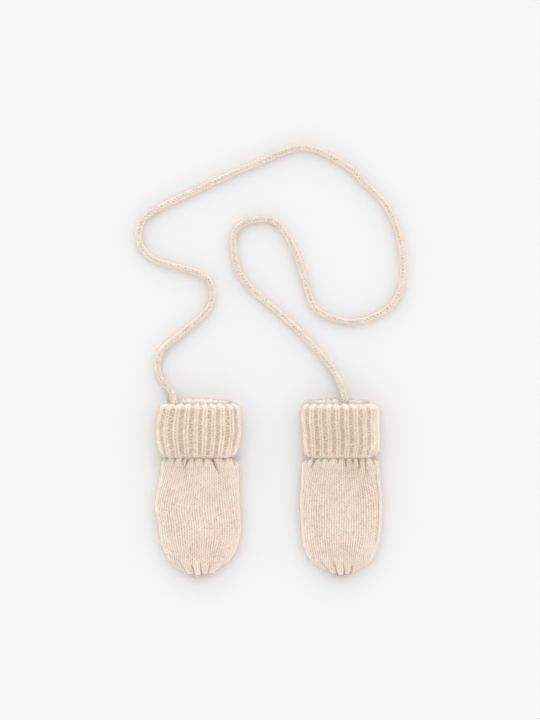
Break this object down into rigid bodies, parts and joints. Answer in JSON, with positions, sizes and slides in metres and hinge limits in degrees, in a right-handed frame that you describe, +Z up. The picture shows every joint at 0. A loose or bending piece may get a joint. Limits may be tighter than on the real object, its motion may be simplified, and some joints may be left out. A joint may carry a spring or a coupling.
{
  "type": "pair of baby mittens on a string",
  "caption": "Pair of thumbless knitted baby mittens with turned-back ribbed cuffs and gathered round tips, laid flat and joined by a knitted string.",
  "frame": {"origin": "on the surface that the mittens lie on, under the middle of the box round the two mittens, without their string", "axes": "+X from the left mitten to the right one, +Y from the tips towards the cuffs, +Z up from the surface"},
  "size_m": [0.2009, 0.3201, 0.0117],
  "materials": {
    "knit_wool_front": "matt undyed wool, plain knit with a soft nap",
    "knit_wool_back": "matt undyed wool, plain knit with a soft nap",
    "ribbed_wool": "matt undyed wool, 1x1 rib",
    "string_wool": "matt undyed wool, round knitted string"
  },
  "bodies": {
    "root": {"left_hand_front": "knit_wool_front", "left_hand_back": "knit_wool_back", "left_cuff_front": "ribbed_wool", "left_cuff_back": "ribbed_wool", "right_hand_front": "knit_wool_front", "right_hand_back": "knit_wool_back", "right_cuff_front": "ribbed_wool", "right_cuff_back": "ribbed_wool", "string": "string_wool"}
  },
  "joints": []
}
